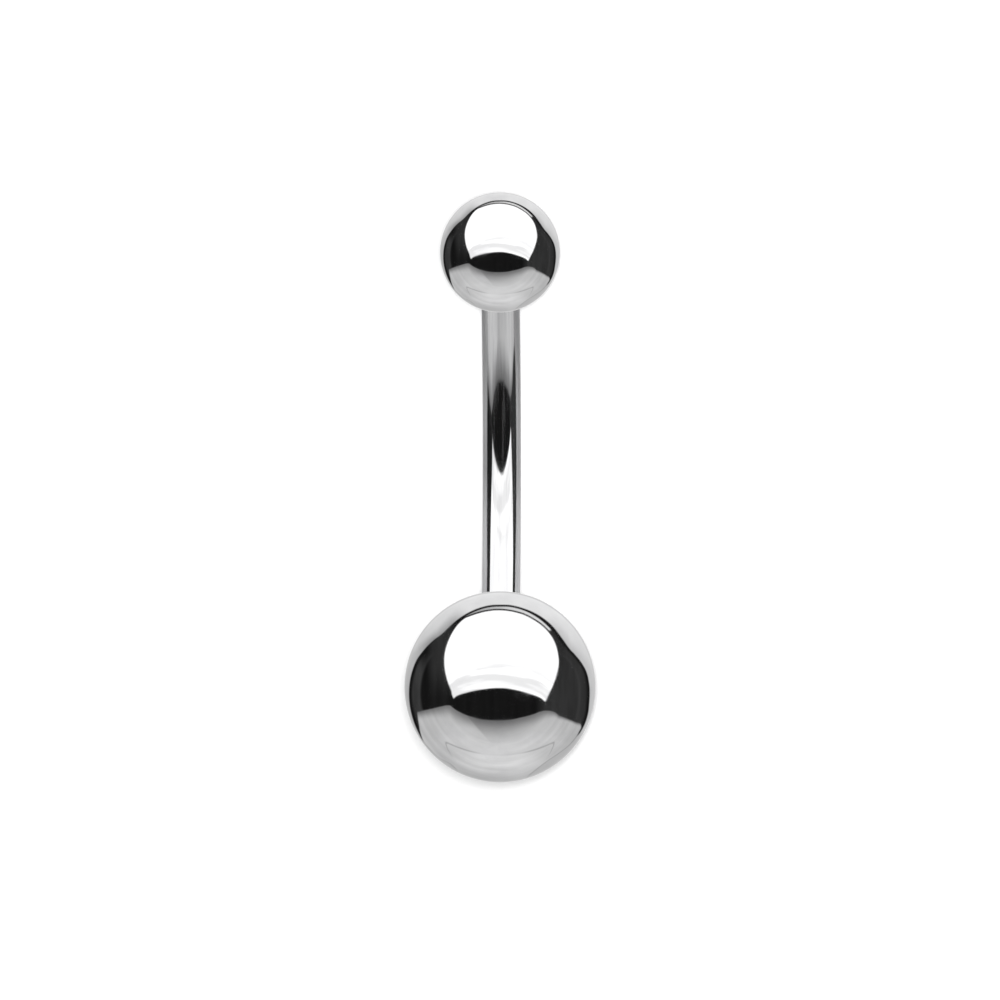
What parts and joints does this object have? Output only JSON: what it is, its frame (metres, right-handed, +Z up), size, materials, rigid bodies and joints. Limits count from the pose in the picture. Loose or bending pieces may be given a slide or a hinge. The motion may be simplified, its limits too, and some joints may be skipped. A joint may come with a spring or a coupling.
{
  "type": "navel ring",
  "caption": "Curved barbell navel ring of polished steel, with a small and a large ball that unscrew from the ends of its bar.",
  "frame": {"origin": "on the surface the ring lies on, at the middle of its box", "axes": "+X from the large ball to the small ball, +Z up, and the bend's outside towards +Y and down"},
  "size_m": [0.0246, 0.008, 0.008],
  "materials": {
    "bar_steel": "polished surgical steel wire",
    "ball_steel": "mirror-polished surgical steel"
  },
  "bodies": {
    "bar": {"bar": "bar_steel"},
    "top_ball": {"top_ball": "ball_steel"},
    "bottom_ball": {"bottom_ball": "ball_steel"}
  },
  "joints": [
    {"name": "top_ball_unscrew", "type": "slide", "parent": "bar", "child": "top_ball", "axis": [0.9217, -0.2579, 0.2897], "range_m": [0, 0.003]},
    {"name": "bottom_ball_unscrew", "type": "slide", "parent": "bar", "child": "bottom_ball", "axis": [-0.8952, -0.2206, 0.3872], "range_m": [0, 0.003]}
  ]
}
